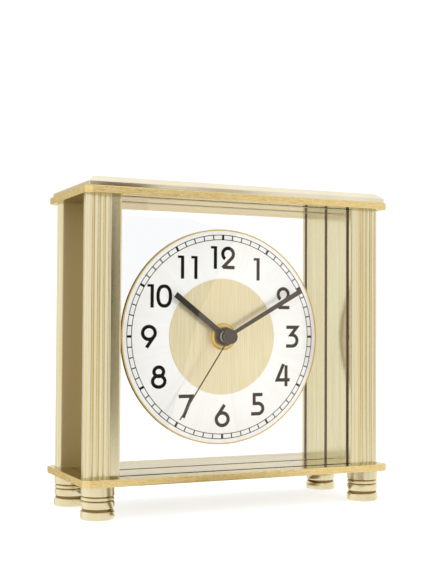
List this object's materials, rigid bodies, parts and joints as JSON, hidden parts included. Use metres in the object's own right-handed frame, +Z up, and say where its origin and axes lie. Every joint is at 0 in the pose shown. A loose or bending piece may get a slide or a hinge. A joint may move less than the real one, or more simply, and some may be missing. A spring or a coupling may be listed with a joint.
{
  "type": "mantel clock",
  "caption": "Open-sided brass mantel clock: bevelled top, reeded columns, turned feet, glazed round dial and a battery quartz movement behind it.",
  "frame": {"origin": "on the surface the clock stands on, under the middle of the case", "axes": "+X to the right seen from the front, along the case's width; +Y to the back; +Z up"},
  "size_m": [0.15, 0.0576, 0.1454],
  "materials": {
    "battery_jacket": "printed jacket, plain",
    "black_backing": "matt black",
    "board": "solder mask",
    "bobbin_plastic": "moulded",
    "brass_brushed_disc": "brushed vertically, pale lacquer",
    "brass_polished": "polished",
    "brass_reeded": "satin pale brass, drawn along the columns",
    "brass_rim": "polished",
    "brass_satin": "satin, fine brush lines along the edges",
    "brass_turned": "turned and polished",
    "chip_resin": "cast resin",
    "clear_glass": "clear float glass, ground edges",
    "contact_nickel": "nickel plated spring strip",
    "copper_wire": "enamelled copper",
    "crystal_can": "drawn can",
    "hand_lacquer": "gloss black-brown",
    "knob_plastic": "moulded",
    "magnet": "sintered",
    "movement_case": "fine moulded grain",
    "rubber": "matt",
    "soft_iron": "stamped",
    "steel_fastener": "zinc plated",
    "wheel_plastic": "natural acetal",
    "white_dial": "satin white lacquer, printed numerals and track"
  },
  "bodies": {
    "case": {"base_plate": "brass_satin", "battery": "battery_jacket", "circuit_board": "board", "coil_bobbin": "bobbin_plastic", "coil_core": "soft_iron", "coil_winding": "copper_wire", "dial_backing": "black_backing", "dial_centre_disc": "brass_brushed_disc", "dial_glass": "clear_glass", "dial_plate": "white_dial", "dial_rim": "brass_rim", "driver_chip": "chip_resin", "foot_studs": "steel_fastener", "front_glass": "clear_glass", "front_left_foot": "brass_turned", "front_right_foot": "brass_turned", "hand_nut": "brass_rim", "left_side_frame": "brass_reeded", "motor_screws": "steel_fastener", "movement_case": "movement_case", "movement_cover": "movement_case", "negative_contact": "contact_nickel", "positive_contact": "contact_nickel", "quartz_crystal": "crystal_can", "rear_left_foot": "brass_turned", "rear_right_foot": "brass_turned", "right_side_frame": "brass_reeded", "rubber_washer": "rubber", "stator": "soft_iron", "top_cap": "brass_polished", "top_plate": "brass_satin", "top_screws": "steel_fastener"},
    "second_train": {"second_hand": "hand_lacquer", "second_hand_cap": "hand_lacquer", "seconds_wheel": "wheel_plastic"},
    "minute_train": {"minute_hand": "hand_lacquer", "cannon_pinion": "brass_rim"},
    "hour_train": {"hour_hand": "hand_lacquer", "hour_wheel": "wheel_plastic"},
    "motion_work": {"motion_wheel": "wheel_plastic", "set_knob": "knob_plastic"},
    "centre_train": {"centre_wheel": "wheel_plastic"},
    "third_train": {"third_wheel": "wheel_plastic"},
    "intermediate_train": {"intermediate_wheel": "wheel_plastic"},
    "rotor": {"rotor_pinion": "wheel_plastic", "rotor_magnet": "magnet"}
  },
  "joints": [
    {"name": "second_hand_spin", "type": "hinge", "parent": "case", "child": "second_train", "pos_m": [0, 0.0098, 0.0771], "axis": [0, 1, 0], "continuous": true},
    {"name": "third_wheel_spin", "type": "hinge", "parent": "case", "child": "third_train", "pos_m": [-0.009, 0.0085, 0.0771], "axis": [0, 1, 0], "continuous": true},
    {"name": "centre_wheel_spin", "type": "hinge", "parent": "case", "child": "centre_train", "pos_m": [0, 0.0072, 0.0771], "axis": [0, 1, 0], "continuous": true},
    {"name": "intermediate_wheel_spin", "type": "hinge", "parent": "case", "child": "intermediate_train", "pos_m": [0, 0.011, 0.0863], "axis": [0, 1, 0], "continuous": true},
    {"name": "rotor_spin", "type": "hinge", "parent": "case", "child": "rotor", "pos_m": [0.00648, 0.0124, 0.09004], "axis": [0, 1, 0], "continuous": true},
    {"name": "minute_hand_spin", "type": "hinge", "parent": "case", "child": "minute_train", "pos_m": [0, 0.0059, 0.0771], "axis": [0, 1, 0], "continuous": true},
    {"name": "set_knob_spin", "type": "hinge", "parent": "case", "child": "motion_work", "pos_m": [0.00902, 0.0059, 0.07382], "axis": [0, 1, 0], "continuous": true},
    {"name": "hour_hand_spin", "type": "hinge", "parent": "case", "child": "hour_train", "pos_m": [0, 0.0046, 0.0771], "axis": [0, 1, 0], "continuous": true}
  ],
  "couplings": [
    {"joint": "third_wheel_spin", "follows": "second_hand_spin", "ratio": -0.125},
    {"joint": "centre_wheel_spin", "follows": "second_hand_spin", "ratio": 0.016667},
    {"joint": "intermediate_wheel_spin", "follows": "second_hand_spin", "ratio": -4},
    {"joint": "rotor_spin", "follows": "second_hand_spin", "ratio": 30},
    {"joint": "set_knob_spin", "follows": "minute_hand_spin", "ratio": -0.33333},
    {"joint": "hour_hand_spin", "follows": "minute_hand_spin", "ratio": 0.083333}
  ]
}
